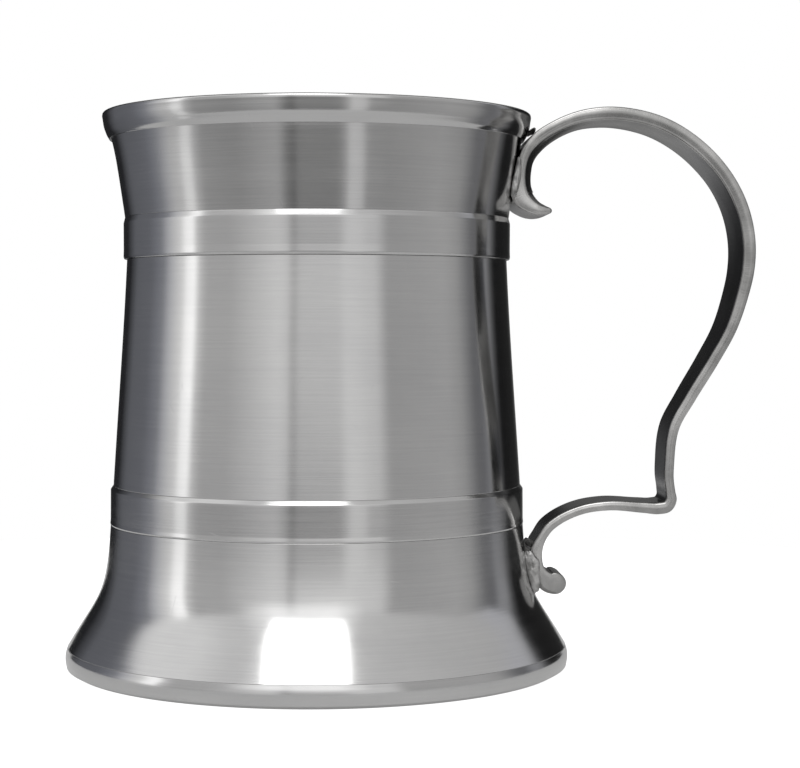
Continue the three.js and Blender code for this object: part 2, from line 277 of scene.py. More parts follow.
# Turned pewter: satin metal with fine lines round the axis left by the tool, faint hairline
# scratches and soft smudges of handling. Shared by every stage that was turned on the lathe.
def group(name, inputs, outputs):
    """An empty shader node group with float inputs (name, default) and outputs (name, type)."""
    made = bpy.data.node_groups.new(name, "ShaderNodeTree")
    for socket_name, default in inputs:
        socket = made.interface.new_socket(
            socket_name, in_out="INPUT", socket_type="NodeSocketFloat"
        )
        socket.default_value = default
    for socket_name, kind in outputs:
        made.interface.new_socket(socket_name, in_out="OUTPUT", socket_type="NodeSocket" + kind)
    return made, made.nodes.new("NodeGroupInput").outputs, made.nodes.new("NodeGroupOutput").inputs


def around_axis(tree):
    """Object coordinates as (radius, height, cosine, sine) about the tankard's axis, and as the
    vector from the axis."""
    coordinates = node(tree, "ShaderNodeTexCoord")
    centred = node(tree, "ShaderNodeVectorMath", operation="SUBTRACT")
    centred.inputs[1].default_value = (axis_x, 0, 0)
    split = node(tree, "ShaderNodeSeparateXYZ")
    wire(
        tree,
        (coordinates.outputs["Object"], centred.inputs[0]),
        (centred.outputs[0], split.inputs[0]),
    )
    x, y, z = split.outputs
    squares = maths(tree, "ADD", maths(tree, "MULTIPLY", x, x), maths(tree, "MULTIPLY", y, y))
    radius = maths(tree, "SQRT", squares)
    above_zero = maths(tree, "MAXIMUM", radius, MM)
    cosine = maths(tree, "DIVIDE", x, above_zero)
    sine = maths(tree, "DIVIDE", y, above_zero)
    return radius, z, cosine, sine, centred.outputs[0]


def combined(tree, *values):
    """A vector of three sockets or numbers."""
    made = node(tree, "ShaderNodeCombineXYZ")
    for socket, value in zip(made.inputs, values):
        if isinstance(value, (int, float)):
            socket.default_value = value
        else:
            tree.links.new(value, socket)
    return made.outputs[0]


# Lines round the axis: noise that is fine along radius and height and very long round the turn.
lines, given, out = group(
    "turning_lines",
    [("Lines per metre", 3200), ("Broken", 2.2)],
    [("Lines", "Float"), ("Bands", "Float")],
)
radius, height, cosine, sine, _ = around_axis(lines)
streak = node(lines, "ShaderNodeTexNoise", noise_dimensions="4D", Scale=1, Detail=3, Roughness=0.7)
wire(
    lines,
    (
        combined(
            lines,
            maths(lines, "MULTIPLY", radius, given[0]),
            maths(lines, "MULTIPLY", height, given[0]),
            maths(lines, "MULTIPLY", cosine, given[1]),
        ),
        streak.inputs["Vector"],
    ),
    (maths(lines, "MULTIPLY", sine, given[1]), streak.inputs["W"]),
    (streak.outputs["Fac"], out[0]),
)
BANDS_PER_METRE = 320
band = node(lines, "ShaderNodeTexNoise", noise_dimensions="2D", Scale=1, Detail=2)
wire(
    lines,
    (
        combined(
            lines,
            maths(lines, "MULTIPLY", radius, BANDS_PER_METRE),
            maths(lines, "MULTIPLY", height, BANDS_PER_METRE),
            0,
        ),
        band.inputs["Vector"],
    ),
    (band.outputs["Fac"], out[1]),
)

# Hairlines: the borders of large, bent cells, kept only in a few patches, so short arcs are left.
hairs, given, out = group(
    "hairline_scratches", [("Cells per metre", 34), ("Kept", 0.63)], [("Scratch", "Float")]
)
*_, place = around_axis(hairs)
bend = node(hairs, "ShaderNodeTexNoise", Scale=55, Detail=1)
bent = node(hairs, "ShaderNodeVectorMath", operation="MULTIPLY_ADD")
bent.inputs[1].default_value = (0.004, 0.004, 0.004)
cells = node(hairs, "ShaderNodeTexVoronoi", feature="DISTANCE_TO_EDGE")
patch = node(hairs, "ShaderNodeTexNoise", Scale=130, Detail=1)
wire(
    hairs,
    (place, bend.inputs["Vector"]),
    (bend.outputs["Color"], bent.inputs[0]),
    (place, bent.inputs[2]),
    (bent.outputs[0], cells.inputs["Vector"]),
    (given[0], cells.inputs["Scale"]),
    (place, patch.inputs["Vector"]),
)
thin = ramp(hairs, cells.outputs["Distance"], [(0, 1), (0.002, 0.4), (0.004, 0)])
few = maths(hairs, "GREATER_THAN", patch.outputs["Fac"], given[1])
wire(hairs, (maths(hairs, "MULTIPLY", thin, few), out[0]))

# Handling: soft clouds of smudge, and small dark pits where the metal has tarnished.
wear, given, out = group(
    "handling", [("Clouds per metre", 26)], [("Smudge", "Float"), ("Pits", "Float")]
)
*_, place = around_axis(wear)
cloud = node(wear, "ShaderNodeTexNoise", Detail=5, Roughness=0.62)
speck = node(wear, "ShaderNodeTexVoronoi", Scale=170)
wire(
    wear,
    (place, cloud.inputs["Vector"]),
    (given[0], cloud.inputs["Scale"]),
    (place, speck.inputs["Vector"]),
    (cloud.outputs["Fac"], out[0]),
)
dot = ramp(wear, speck.outputs["Distance"], [(0, 1), (0.06, 1), (0.1, 0)])
chosen = maths(wear, "GREATER_THAN", speck.outputs["Color"], 0.93)
wire(wear, (maths(wear, "MULTIPLY", dot, chosen), out[1]))


# The metal: colour from smudges and pits, roughness from lines, smudges and hairlines, and a bump
# from lines, hairlines and pits. The anisotropy spreads highlights up and down the wall.
ROUGHNESS = 0.14
LINE_DEPTH = 0.006 * MM
turned_pewter = bpy.data.materials.new("turned_pewter")
turned_pewter.use_nodes = True
tree = turned_pewter.node_tree
surface = tree.nodes["Principled BSDF"]
surface.inputs["Metallic"].default_value = 1
surface.inputs["Anisotropic"].default_value = 0.6
surface.inputs["Anisotropic Rotation"].default_value = 0.25
marks, scratch, handled = (tree.nodes.new("ShaderNodeGroup") for _ in range(3))
marks.node_tree, scratch.node_tree, handled.node_tree = lines, hairs, wear
line, broad = marks.outputs
hairline = scratch.outputs[0]
smudge, pit = handled.outputs
tone = node(tree, "ShaderNodeMixRGB", Color1=(0.56, 0.558, 0.56, 1), Color2=(0.65, 0.646, 0.64, 1))
pitted = node(tree, "ShaderNodeMixRGB", Color2=(0.12, 0.115, 0.11, 1))
clouded = maths(tree, "MULTIPLY", ramp(tree, smudge, [(0.32, 0), (0.62, 1)]), 0.6)
lined = maths(tree, "MULTIPLY", ramp(tree, line, [(0.34, 0), (0.66, 1)]), 0.4)
roughness = maths(tree, "ADD", ROUGHNESS - 0.1, maths(tree, "MULTIPLY", line, 0.1))
roughness = maths(tree, "ADD", roughness, maths(tree, "MULTIPLY", broad, 0.06))
roughness = maths(tree, "ADD", roughness, maths(tree, "MULTIPLY", smudge, 0.05))
roughness = maths(tree, "ADD", roughness, maths(tree, "MULTIPLY", hairline, 0.08))
relief = maths(tree, "SUBTRACT", line, maths(tree, "MULTIPLY", hairline, 0.7))
relief = maths(tree, "SUBTRACT", relief, maths(tree, "MULTIPLY", pit, 1.5))
bump = node(tree, "ShaderNodeBump", Strength=1, Distance=LINE_DEPTH)
wire(
    tree,
    (maths(tree, "ADD", clouded, lined), tone.inputs[0]),
    (tone.outputs[0], pitted.inputs[1]),
    (maths(tree, "MULTIPLY", pit, 0.7), pitted.inputs[0]),
    (pitted.outputs[0], surface.inputs["Base Color"]),
    (roughness, surface.inputs["Roughness"]),
    (relief, bump.inputs["Height"]),
    (bump.outputs[0], surface.inputs["Normal"]),
)


# Foot ring: a cast pewter hoop turned to a bulging edge, flat underneath where it stands, with a
# collar that goes up inside the skirt.
ARC_STEP = math.radians(12)
LONGEST_STEP = 1.2 * MM


def rounded(corners, fillets):
    """A closed outline with its corners rounded: each corner's arc touches both its sides, and the
    straight runs between arcs are stepped more finely towards their ends. A fillet of 0 keeps the
    corner as it is, which suits the points of a curve."""
    corners = np.asarray(corners, float)
    before = np.roll(corners, 1, axis=0) - corners
    after = np.roll(corners, -1, axis=0) - corners
    before /= np.linalg.norm(before, axis=1)[:, None]
    after /= np.linalg.norm(after, axis=1)[:, None]
    half = np.arccos(np.clip((before * after).sum(1), -1, 1)) / 2
    reach = np.asarray(fillets) / np.tan(half)
    starts = corners + before * reach[:, None]
    ends = corners + after * reach[:, None]
    middle = before + after
    middle /= np.linalg.norm(middle, axis=1)[:, None]
    centres = corners + middle * (np.asarray(fillets) / np.sin(half))[:, None]
    points = []
    for i in range(len(corners)):
        if fillets[i]:
            first, last = starts[i] - centres[i], ends[i] - centres[i]
            turn = math.atan2(first[0] * last[1] - first[1] * last[0], first @ last)
            angle = turn * np.linspace(0, 1, max(3, int(abs(turn) / ARC_STEP) + 2))[:, None]
            sideways = first[::-1] * (-1, 1)
            points.append(centres[i] + first * np.cos(angle) + sideways * np.sin(angle))
        else:
            points.append(corners[i : i + 1])
        run = starts[(i + 1) % len(corners)] - ends[i]
        count = int(np.linalg.norm(run) / LONGEST_STEP) + 1
        if fillets[i] or count > 1:
            count = max(4, count)
        share = (1 - np.cos(np.pi * np.arange(1, count) / count)) / 2
        points.append(ends[i] + run * share[:, None])
    return np.concatenate(points)


def smooth_through(stations, steps):
    """A curve through rows of numbers, the first two of each being a place in the plane. On each
    span it is the Hermite cubic h00 p0 + h10 d m0 + h01 p1 + h11 d m1, d being the span's length
    and m the slope at a station: the two spans' slopes there, the shorter span's counting more."""
    stations = np.asarray(stations, float)
    gaps = np.linalg.norm(np.diff(stations[:, :2], axis=0), axis=1)[:, None]
    slopes = np.diff(stations, axis=0) / gaps
    middle = (slopes[:-1] * gaps[1:] + slopes[1:] * gaps[:-1]) / (gaps[:-1] + gaps[1:])
    rates = np.vstack([slopes[:1], middle, slopes[-1:]])
    place = np.linspace(0, len(gaps), steps)
    span = np.minimum(place.astype(int), len(gaps) - 1)
    t = (place - span)[:, None]
    ends = (2 * t**3 - 3 * t**2 + 1) * stations[span] + (3 * t**2 - 2 * t**3) * stations[span + 1]
    bends = (t**3 - 2 * t**2 + t) * rates[span] + (t**3 - t**2) * rates[span + 1]
    return ends + gaps[span] * bends


END_SHARE = 0.15


def crisp_ends(outline):
    """The outline with a point added just inside each end, so that shading stays true up to a
    sharp edge."""
    first, last = outline[:1], outline[-1:]
    after = (1 - END_SHARE) * first + END_SHARE * outline[1:2]
    before = (1 - END_SHARE) * last + END_SHARE * outline[-2:-1]
    return np.vstack([first, after, outline[1:-1], before, last])


def grid_mesh(name, points, material, closed_ends=False):
    """A mesh over a grid of points, joined round both ways, or left open and capped at the first
    and last rows. Faces follow the grid's own turn, which the callers keep outwards."""
    rows, columns, _ = points.shape
    row = np.arange(rows - 1 if closed_ends else rows)[:, None]
    column = np.arange(columns)[None, :]
    a = row * columns + column
    b = row * columns + (column + 1) % columns
    c = (row + 1) % rows * columns + (column + 1) % columns
    d = (row + 1) % rows * columns + column
    faces = np.stack([a, b, c, d], axis=-1).reshape(-1, 4).tolist()
    if closed_ends:
        faces.append(np.arange(columns)[::-1].tolist())
        faces.append(((rows - 1) * columns + np.arange(columns)).tolist())
    mesh = bpy.data.meshes.new(name)
    mesh.from_pydata(points.reshape(-1, 3), [], faces)
    mesh.polygons.foreach_set("use_smooth", np.ones(len(faces), bool))
    mesh.materials.append(material)
    mesh.update()
    made = bpy.data.objects.new(name, mesh)
    bpy.context.collection.objects.link(made)
    return made


COLUMNS = 360
UNEVEN = 0.01 * MM


def turned(name, outline, uneven=UNEVEN, closed_ends=False):
    """A ring turned about the axis from a closed outline of (radius, height), listed up the
    outside and down the inside. The radius wanders by up to twice the unevenness in long waves
    round the turn and up the wall, as hand-finished metal does."""
    angle = np.linspace(0, 2 * np.pi, COLUMNS, endpoint=False)[None, :]
    radius, height = outline[:, :1], outline[:, 1:]
    wave = np.sin(3 * angle + 70 * height) + 0.6 * np.sin(5 * angle - 130 * height + 1)
    wave = wave + 0.4 * np.sin(8 * angle + 210 * height + 2)
    swept = radius + uneven * wave
    x, y = axis_x + swept * np.cos(angle), swept * np.sin(angle)
    points = np.stack([x, y, np.broadcast_to(height, swept.shape)], axis=-1)
    return grid_mesh(name, points, turned_pewter, closed_ends)


def finish(piece, node_name):
    """The piece rides with the body and stands for its plain CAD node, which is hidden."""
    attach(piece, "root")
    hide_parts(node_name)


def levels(node_name):
    """Lowest height, highest height and greatest radius of a CAD node."""
    low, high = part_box(node_name)
    return low[2], high[2], (high[1] - low[1]) / 2


# The wall's thickness, and the gap left between pieces that touch.
WALL = 1.5 * MM
CLOSE = 0.02 * MM
foot_low, collar_top, foot_radius = levels("foot_ring")
skirt_foot, skirt_seat_top, _ = levels("foot_skirt")
skirt_top, drum_foot, lower_band_radius = levels("lower_band")
crease_level = skirt_foot - 0.3 * MM
crease_radius = foot_radius - 0.5 * MM
skirt_top_radius = lower_band_radius - 0.04 * MM


def bezier(p0, p1, p2, p3, steps):
    """Points on the cubic curve of four handles, each weighted by its share of (t + (1 - t))^3."""
    t = np.linspace(0, 1, steps)[:, None]
    weights = ((1 - t) ** 3, 3 * t * (1 - t) ** 2, 3 * t**2 * (1 - t), t**3)
    return sum(weight * np.asarray(point) for weight, point in zip(weights, (p0, p1, p2, p3)))


skirt_height = skirt_top - crease_level
skirt_flare = crease_radius - skirt_top_radius
skirt_face = crisp_ends(
    bezier(
        (crease_radius, crease_level),
        (crease_radius - 0.725 * skirt_flare, crease_level + 0.432 * skirt_height),
        (skirt_top_radius + 0.1 * skirt_flare, skirt_top - 0.605 * skirt_height),
        (skirt_top_radius, skirt_top),
        60,
    )
)
# The skirt's wall grows thicker towards its top.
THICKENING = 0.6 * MM
skirt_bore = skirt_face - [WALL, 0]
skirt_bore[:, 0] -= THICKENING * (skirt_face[:, 1] - crease_level) / skirt_height


def radius_at(outline, height):
    """Radius of an outline that climbs steadily, at a height."""
    return np.interp(height, outline[:, 1], outline[:, 0])


COLLAR_WALL = 1 * MM
COLLAR_PLAY = 0.3 * MM
ring_bore = radius_at(skirt_bore, collar_top) - COLLAR_PLAY - COLLAR_WALL
ring_face = smooth_through(
    [
        (crease_radius + 0.25 * MM, 0.78 * MM),
        (foot_radius, 2.4 * MM),
        (foot_radius - 0.08 * MM, 3.6 * MM),
        (crease_radius + 0.02 * MM, crease_level - 0.02 * MM),
    ],
    80,
)
ring_corners = np.vstack(
    [
        (ring_bore, foot_low),
        (crease_radius - 1.15 * MM, foot_low),
        ring_face,
        (crease_radius - 0.35 * MM, crease_level),
        (radius_at(skirt_bore, crease_level) - COLLAR_PLAY, crease_level),
        (radius_at(skirt_bore, collar_top) - COLLAR_PLAY, collar_top),
        (ring_bore, collar_top),
    ]
)
ring_fillets = np.zeros(len(ring_corners))
ring_fillets[[0, 1, -4, -2, -1]] = np.array([0.3, 0.4, 0, 0.2, 0.2]) * MM
foot_ring = turned("ring_under_foot", rounded(ring_corners, ring_fillets))
finish(foot_ring, "foot_ring")


# Foot skirt: spun to a flare from the lower band down to the foot ring, where its rim is soldered,
# and reduced at its top to a seat inside the band.
lower_seat = lower_band_radius - 1.45 * MM
drum_foot_radius = lower_band_radius - 0.65 * MM
drum_foot_bore = drum_foot_radius - WALL
skirt_corners = np.vstack(
    [
        (radius_at(skirt_face, crease_level + CLOSE), crease_level + CLOSE),
        skirt_face[1:-1],
        (skirt_top_radius, skirt_top - CLOSE),
        (lower_seat, skirt_top - CLOSE),
        (lower_seat, skirt_seat_top),
        (drum_foot_bore, skirt_seat_top),
        skirt_bore[::-1][1:-1],
        (radius_at(skirt_bore, crease_level + CLOSE), crease_level + CLOSE),
    ]
)
skirt_fillets = np.zeros(len(skirt_corners))
skirt_fillets[[-1, len(skirt_face) - 1]] = 0.08 * MM
finish(turned("flared_skirt", rounded(skirt_corners, skirt_fillets)), "foot_skirt")


# Lower band: a sleeve over the joint of skirt and drum, its top edge turned to a bevel and its foot
# flush with the skirt behind a fine scored line.
BAND_WALL = 0.6 * MM
band_bore = lower_band_radius - 0.55 * MM - BAND_WALL
lower_corners = [
    (band_bore, skirt_top),
    (lower_band_radius - 0.1 * MM, skirt_top),
    (lower_band_radius + 0.06 * MM, skirt_top + 0.3 * MM),
    (lower_band_radius - 0.02 * MM, skirt_top + 1.1 * MM),
    (lower_band_radius - 0.06 * MM, drum_foot - 0.8 * MM),
    (drum_foot_radius + 0.04 * MM, drum_foot),
    (band_bore, drum_foot),
]
lower_fillets = np.array([0.1, 0.12, 0.2, 1, 0.3, 0.02, 0.1]) * MM
finish(turned("lower_sleeve", rounded(lower_corners, lower_fillets)), "lower_band")


# Drum: the tapering middle stage, drawn in a little more than straight towards its top, with a
# reduced seat at each end that goes inside a band.
drum_seat_low, drum_seat_top, _ = levels("drum")
drum_top, neck_foot, upper_band_radius = levels("upper_band")
upper_seat = upper_band_radius - 1.04 * MM
drum_taper = drum_foot_radius - (upper_band_radius - 0.74 * MM)
DRUM_HOLLOW = 0.8 * MM
up = np.linspace(0, 1, 60)
drum_face = crisp_ends(
    np.stack(
        [
            drum_foot_radius - drum_taper * up - DRUM_HOLLOW * up**2 * (1 - up),
            drum_foot + CLOSE + (drum_top - drum_foot - 2 * CLOSE) * up,
        ],
        axis=-1,
    )
)
drum_corners = np.vstack(
    [
        (drum_foot_bore, drum_seat_low),
        (lower_seat, drum_seat_low),
        (lower_seat, drum_foot + CLOSE),
        drum_face,
        (upper_seat, drum_top - CLOSE),
        (upper_seat, drum_seat_top),
        (drum_face[-1, 0] - WALL, drum_seat_top),
        (drum_face[::-1] - [WALL, 0])[1:-1],
    ]
)
drum = turned("tapered_drum", rounded(drum_corners, np.zeros(len(drum_corners))))
finish(drum, "drum")


# Upper band: a sleeve over the joint of drum and neck, with a rounded bevel above and a square edge
# below.
upper_bore = upper_band_radius - 0.14 * MM - BAND_WALL
neck_foot_radius = upper_band_radius - 0.32 * MM
upper_corners = [
    (upper_bore, drum_top),
    (upper_band_radius - 0.14 * MM, drum_top),
    (upper_band_radius + 0.02 * MM, drum_top + 0.5 * MM),
    (upper_band_radius - 0.02 * MM, drum_top + 2 * MM),
    (upper_band_radius, neck_foot - 1.2 * MM),
    (neck_foot_radius, neck_foot),
    (upper_bore, neck_foot),
]
upper_fillets = np.array([0.1, 0.15, 0.25, 1, 0.5, 0.08, 0.1]) * MM
finish(turned("upper_sleeve", rounded(upper_corners, upper_fillets)), "upper_band")


# Neck: widens steadily from the band and turns out a little more just under the lip, whose socket
# takes its top.
neck_low, neck_top, neck_top_radius = levels("neck")
lip_foot, rim, lip_radius = levels("lip_moulding")
NECK_TURN_OUT = 0.39 * MM
neck_flare = neck_top_radius - neck_foot_radius
neck_face = crisp_ends(
    np.stack(
        [
            neck_foot_radius + (neck_flare - NECK_TURN_OUT) * up + NECK_TURN_OUT * up**6,
            neck_foot + CLOSE + (lip_foot - neck_foot - CLOSE) * up,
        ],
        axis=-1,
    )
)
neck_corners = np.vstack(
    [
        (neck_foot_radius - WALL, neck_low),
        (upper_seat, neck_low),
        (upper_seat, neck_foot + CLOSE),
        neck_face,
        (neck_top_radius, neck_top),
        (neck_top_radius - WALL, neck_top),
        (neck_face[::-1] - [WALL, 0])[:-1],
    ]
)
neck = turned("flared_neck", rounded(neck_corners, np.zeros(len(neck_corners))))
finish(neck, "neck")


# Lip moulding: a cast ring dropped over the neck and turned: a soft rim to drink from, a nearly
# upright face under it, and below that a face that draws in to a sharp lower edge.
lip_bore = neck_top_radius - WALL
socket_top = neck_top + 0.3 * MM
lip_height = rim - lip_foot
lip_edge = max(neck_top_radius + 0.35 * MM, lip_radius - 1.45 * MM)
lip_face = smooth_through(
    [
        (lip_edge, lip_foot + 0.06 * MM),
        (lip_radius - 1.02 * MM, lip_foot + 0.14 * lip_height),
        (lip_radius - 0.66 * MM, lip_foot + 0.3 * lip_height),
        (lip_radius - 0.49 * MM, lip_foot + 0.38 * lip_height),
        (lip_radius - 0.1 * MM, lip_foot + 0.75 * lip_height),
        (lip_radius, lip_foot + 0.88 * lip_height),
        (lip_radius - 0.1 * MM, rim - 0.24 * MM),
        (lip_radius - 0.34 * MM, rim - 0.05 * MM),
        (lip_radius - 0.8 * MM, rim),
    ],
    56,
)
lip_corners = np.vstack(
    [
        (neck_top_radius + CLOSE, lip_foot),
        (lip_edge - 0.02 * MM, lip_foot),
        lip_face,
        (lip_bore + 0.9 * MM, rim),
        (lip_bore, rim - 1.1 * MM),
        (lip_bore, socket_top),
        (neck_top_radius + CLOSE, socket_top),
    ]
)
lip_fillets = np.zeros(len(lip_corners))
lip_fillets[[-4, -3]] = np.array([0.5, 0.8]) * MM
finish(turned("lip_ring", rounded(lip_corners, lip_fillets)), "lip_moulding")


# Base plate: the floor of the drinking space, a flat disc turned on both faces and soldered in from
# below. Each face is closed by a small flat middle, where the lathe's centre held it.
plate_foot, plate_top, plate_radius = levels("base_plate")
CENTRE_MARK = 1.5 * MM
plate_edge = rounded(
    [
        (CENTRE_MARK, plate_foot),
        (plate_radius, plate_foot),
        (plate_radius, plate_top),
        (CENTRE_MARK, plate_top),
    ],
    np.array([0, 0.2, 0.2, 0]) * MM,
)
top_centre = np.flatnonzero(plate_edge[:, 0] <= CENTRE_MARK)[1]
plate = turned("floor_plate", plate_edge[: top_centre + 1], 0, closed_ends=True)
finish(plate, "base_plate")


# Base solder: the fillet run round the corner under the floor, hollow-faced as solder sets.
solder_foot, solder_top, _ = levels("base_solder_ring")
solder_leg = solder_top - solder_foot
solder_reach = radius_at(skirt_bore, solder_top) - CLOSE


def lumps(points, size, seed):
    """A smooth unevenness between -1 and 1: six plane waves in seeded directions and phases, of
    about the given size, added and levelled."""
    chance = np.random.default_rng(seed)
    total = 0
    for _ in range(6):
        wave = chance.normal(size=3)
        wave *= 2 * np.pi / size * chance.uniform(0.6, 1.5) / np.linalg.norm(wave)
        total = total + np.sin(points @ wave + chance.uniform(0, 2 * np.pi))
    return total / 3


def solder_metal():
    """Tin solder, grainy as it set: bright in places and dull in others."""
    made = bpy.data.materials.new("solder")
    made.use_nodes = True
    tree = made.node_tree
    surface = tree.nodes["Principled BSDF"]
    surface.inputs["Metallic"].default_value = 1
    place = node(tree, "ShaderNodeTexCoord").outputs["Object"]
    grain = node(tree, "ShaderNodeTexNoise", Scale=1500, Detail=3, Roughness=0.6)
    patch = node(tree, "ShaderNodeTexNoise", Scale=420, Detail=2)
    dull, bright = (0.24, 0.238, 0.233, 1), (0.56, 0.556, 0.548, 1)
    colour = node(tree, "ShaderNodeMixRGB", Color1=dull, Color2=bright)
    bump = node(tree, "ShaderNodeBump", Strength=1, Distance=0.0002)
    wire(
        tree,
        (place, grain.inputs["Vector"]),
        (place, patch.inputs["Vector"]),
        (ramp(tree, patch.outputs["Fac"], [(0.35, 0), (0.65, 1)]), colour.inputs[0]),
        (colour.outputs[0], surface.inputs["Base Color"]),
        (ramp(tree, grain.outputs["Fac"], [(0.3, 0.3), (0.7, 0.6)]), surface.inputs["Roughness"]),
        (grain.outputs["Fac"], bump.inputs["Height"]),
        (bump.outputs[0], surface.inputs["Normal"]),
    )
    return made


solder = solder_metal()


ARC_POINTS = 14
JUST_INSIDE = 0.999
wet_edge = [solder_reach - 0.05 * MM, solder_foot]
plate_edge_end = [solder_reach - solder_leg, solder_top]
corner = np.array([solder_reach, solder_top])
towards_foot = (corner * 2 + wet_edge) / 3
towards_plate = (corner * 2 + plate_edge_end) / 3
hollow = bezier(wet_edge, towards_foot, towards_plate, plate_edge_end, ARC_POINTS)
fillet_outline = np.vstack([corner * JUST_INSIDE, hollow])
angle = np.linspace(0, 2 * np.pi, COLUMNS, endpoint=False)[None, :]
run = fillet_outline[:, :1] + 0 * angle
points = np.stack(
    [axis_x + run * np.cos(angle), run * np.sin(angle), fillet_outline[:, 1:] + 0 * angle], axis=-1
)
# Only the hollow face ripples: the corner and the two edges that touch stay in place.
RIPPLE, RIPPLE_SIZE = 0.18 * MM, 4 * MM
step = np.arange(len(fillet_outline))
free = ((step > 1) & (step < ARC_POINTS))[:, None]
points[..., 2] += RIPPLE * lumps(points, RIPPLE_SIZE, 3) * free
finish(grid_mesh("floor_solder", points[::-1], solder), "base_solder_ring")


# Handle: one cast strap. A hook stands against the neck under the lip, an arch springs over to the
# grip, the grip sweeps down in an S to a square kick, and a bar bows back to a thumb soldered to the
# skirt. Its side faces are filed and brushed across; its inner and outer faces are left smooth.
HANDLE_REACH = 48.9 * MM
# Stations are [out, up, thickness, width, crown] in millimetres; out is from the wall beside the
# joint, and in the arch, grip and bar it is a share of the reach.
hook = [
    [6.0, -15.2, 1.0, 15.6, 0.4],
    [4.6, -15.3, 1.7, 17, 0.9],
    [3.1, -15.15, 2.3, 17.8, 1.2],
    [0.9, -14.1, 3.2, 18, 1.5],
    [-0.7, -12.5, 3.8, 18, 1.8],
    [-1.15, -10.4, 3.2, 18, 1.9],
    [-1.05, -8.3, 2.5, 18, 1.9],
    [-0.7, -5.9, 2.1, 18, 1.9],
    [-0.2, -3.9, 2.1, 18, 1.8],
    [0.75, -1.9, 2.3, 18, 1.7],
    [2.35, 0, 2.4, 18, 1.6],
]
arch = [
    [0.135, 2.85, 2.4, 18.6, 1.2],
    [0.245, 4.9, 2.6, 19, 0.8],
    [0.348, 5.6, 2.8, 19.2, 0.6],
    [0.485, 5.2, 2.8, 19, 0.4],
    [0.611, 3.5, 2.8, 18.4, 0.3],
    [0.738, 0, 2.8, 17.8, 0.2],
    [0.834, -4.1, 2.8, 17.4, 0.15],
    [0.895, -7.7, 2.75, 17.2, 0.1],
    [0.959, -13.5, 2.75, 17.2, 0.1],
]
# In the grip, up is replaced by a share of the way down from the arch to the bar.
grip = [
    [1, 0.17, 2.8, 17.2, 0.1],
    [0.994, 0.26, 2.75, 17.2, 0.1],
    [0.97, 0.353, 2.6, 17.2, 0.1],
    [0.921, 0.48, 2.4, 17, 0.1],
    [0.845, 0.602, 2.4, 16, 0.1],
    [0.746, 0.745, 2.35, 14.6, 0.1],
    [0.677, 0.855, 2.2, 14, 0.05],
]
bar = [
    [0.646, 12.9, 2.1, 13.8, 0],
    [0.645, 9.9, 2.1, 13.5, 0],
    [0.653, 6.8, 2.1, 13.5, 0],
    [0.656, 5.1, 2.4, 13.5, 0],
    [0.64, 3.75, 2.6, 13.5, 0],
    [0.601, 3.3, 2.6, 13.5, 0],
    [0.538, 3.45, 2.4, 13.5, 0],
    [0.374, 3.9, 2.1, 13.5, 0],
]
thumb = [
    [12.9, 3.1, 2, 13, 0],
    [10.1, 2.1, 2, 12.8, 0],
    [7.4, 0.65, 2, 12.6, 0],
    [5.3, -1.05, 2, 12.4, 0],
    [3.85, -3.25, 2, 12.2, 0],
    [2.9, -5.3, 2.5, 12, 0],
    [2.55, -7.5, 2.9, 11.8, 0],
    [2.85, -9.8, 3.1, 11.6, 0],
    [4, -11.7, 3.5, 11.4, 0],
    [5.4, -12.95, 4.5, 11.2, 0],
    [7.0, -13.2, 4.9, 11, 0],
    [8.4, -13.1, 4.9, 10.9, 0],
    [9.3, -13.0, 4.9, 10.8, 0],
]


def placed(stations, wall_radius, unit, level):
    """Stations in metres: out becomes x from the axis, and up becomes a height."""
    made = np.array(stations)
    made[:, 0] = wall_radius + made[:, 0] * unit
    made[:, 1] = level(made[:, 1])
    made[:, 2:] *= MM
    return made


arch_end = lip_foot + arch[-1][1] * MM
grip_drop = arch_end - skirt_top - bar[0][1] * MM
stations = np.vstack(
    [
        placed(hook, neck_top_radius, MM, lambda up: lip_foot + up * MM),
        placed(arch, neck_top_radius, HANDLE_REACH, lambda up: lip_foot + up * MM),
        placed(grip, neck_top_radius, HANDLE_REACH, lambda down: arch_end - grip_drop * down),
        placed(bar, skirt_top_radius, HANDLE_REACH, lambda up: skirt_top + up * MM),
        placed(thumb, skirt_top_radius, MM, lambda up: skirt_top + up * MM),
    ]
)
# The strap is stepped evenly along its length, and more finely where its two ends round off.
ROWS = 640
TIP_ROUND = 0.45 * MM
THUMB_ROUND = 2.5 * MM
swept = smooth_through(stations, ROWS * 4)
travelled = np.concatenate([[0], np.cumsum(np.hypot(*np.diff(swept[:, :2], axis=0).T))])
length = travelled[-1]
start_turn = TIP_ROUND * (1 - np.cos(np.linspace(0, np.pi / 2, 14)))
end_turn = length - THUMB_ROUND * (1 - np.cos(np.linspace(np.pi / 2, 0, 26)))
even = np.linspace(TIP_ROUND, length - THUMB_ROUND, ROWS)
along = np.concatenate([start_turn[1:], even[1:-1], end_turn[:-1]])
spine_x, spine_z, thickness, width, crown = (np.interp(along, travelled, row) for row in swept.T)
slope_x, slope_z = np.gradient(spine_x, along), np.gradient(spine_z, along)
steepness = np.hypot(slope_x, slope_z)
outward = np.stack([-slope_z, slope_x], axis=-1) / steepness[:, None]
tip = np.clip(along / TIP_ROUND, 0, 1)
end = np.clip((length - along) / THUMB_ROUND, 0, 1)
shut_tip, shut_end = np.sqrt(1 - (1 - tip) ** 2), np.sqrt(1 - (1 - end) ** 2)
back = thickness / 2 * shut_tip * shut_end
END_NARROWING = 0.4 * MM
half = width / 2 - END_NARROWING * (1 - shut_tip) - END_NARROWING * (1 - shut_end)
crown = crown * shut_tip
OUTER_ARRIS = 0.45 * MM
INNER_FILLET = 1.05 * MM
arris = np.minimum(OUTER_ARRIS, back * 0.45)
fillet = np.minimum(INNER_FILLET, back * 0.55)


CORNER_POINTS = 9


